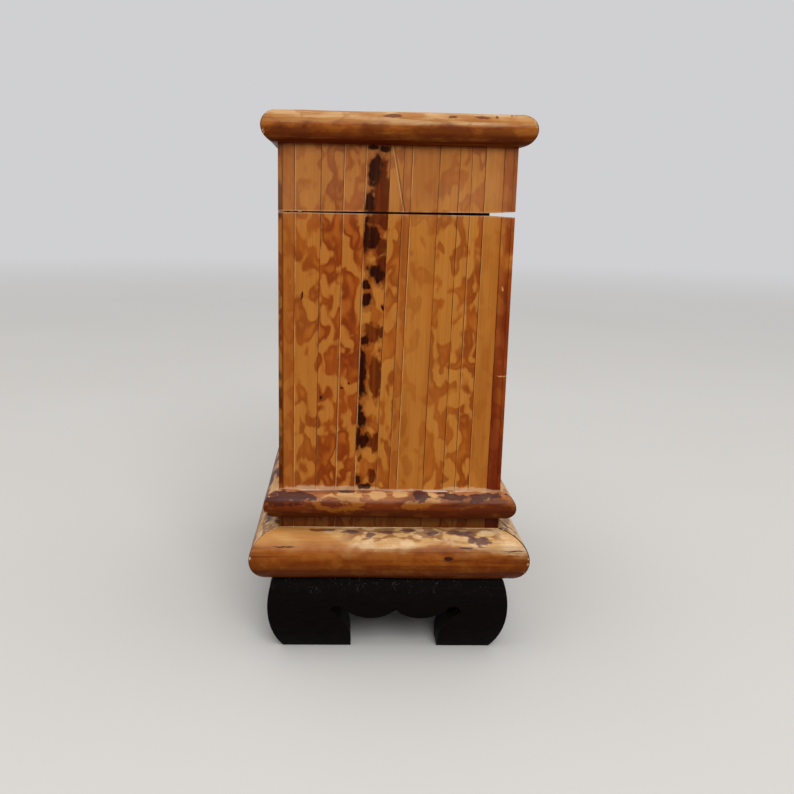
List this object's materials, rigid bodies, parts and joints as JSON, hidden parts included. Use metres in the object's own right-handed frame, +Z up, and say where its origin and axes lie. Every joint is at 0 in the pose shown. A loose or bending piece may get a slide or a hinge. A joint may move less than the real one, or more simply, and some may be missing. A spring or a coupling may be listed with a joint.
{
  "type": "lidded box",
  "caption": "Lidded wooden box veneered in mottled bamboo strips, edged with half-round bamboo rods, with a hinged lid and a black bracket-foot stand; holds tea, spices or small kitchen goods.",
  "frame": {"origin": "middle of the footprint, on the surface that the feet stand on", "axes": "+Z up, X along the length of the box, -Y to the front where the lid opens, +Y to the hinges"},
  "size_m": [0.1726, 0.1126, 0.2156],
  "materials": {
    "strip_bamboo": "varnished split bamboo with scorched mottles",
    "lid_bamboo": "varnished half-round bamboo, warm orange brown",
    "waist_bamboo": "varnished half-round bamboo, dark scorched blotches",
    "plinth_bamboo": "varnished half-round bamboo, pale honey with brown blotches",
    "carcass_wood": "bare pale softwood",
    "black_lacquer": "thin black lacquer, satin",
    "black_paint": "brushed black paint, satin with worn glints",
    "hinge_brass": "aged brass",
    "screw_steel": "plain steel"
  },
  "bodies": {
    "case": {"stand_front": "black_paint", "stand_back": "black_paint", "stand_left": "black_paint", "stand_right": "black_paint", "stand_top_board": "black_paint", "stand_corner_blocks": "black_paint", "stand_screws": "screw_steel", "plinth_board": "carcass_wood", "plinth_screws": "screw_steel", "plinth_rod_front": "plinth_bamboo", "plinth_rod_back": "plinth_bamboo", "plinth_rod_left": "plinth_bamboo", "plinth_rod_right": "plinth_bamboo", "waist_rod_front": "waist_bamboo", "waist_rod_back": "waist_bamboo", "waist_rod_left": "waist_bamboo", "waist_rod_right": "waist_bamboo", "case_front": "carcass_wood", "case_back": "carcass_wood", "case_left": "carcass_wood", "case_right": "carcass_wood", "case_floor": "carcass_wood", "case_front_strips": "strip_bamboo", "case_back_strips": "strip_bamboo", "case_left_strips": "strip_bamboo", "case_right_strips": "strip_bamboo", "liner_front": "black_lacquer", "liner_back": "black_lacquer", "liner_left": "black_lacquer", "liner_right": "black_lacquer", "liner_floor": "black_lacquer", "hinge_case_leaves": "hinge_brass", "hinge_pins": "hinge_brass", "hinge_case_screws": "hinge_brass"},
    "lid": {"lid_front": "carcass_wood", "lid_back": "carcass_wood", "lid_left": "carcass_wood", "lid_right": "carcass_wood", "lid_top_board": "carcass_wood", "lid_front_strips": "strip_bamboo", "lid_back_strips": "strip_bamboo", "lid_left_strips": "strip_bamboo", "lid_right_strips": "strip_bamboo", "lid_top_strips": "strip_bamboo", "lid_rod_front": "lid_bamboo", "lid_rod_back": "lid_bamboo", "lid_rod_left": "lid_bamboo", "lid_rod_right": "lid_bamboo", "hinge_lid_leaves": "hinge_brass", "hinge_lid_screws": "hinge_brass"}
  },
  "joints": [
    {"name": "lid_hinge", "type": "hinge", "parent": "case", "child": "lid", "pos_m": [0, 0.0453, 0.17902], "axis": [-1, 0, 0], "range_deg": [0, 165]}
  ]
}
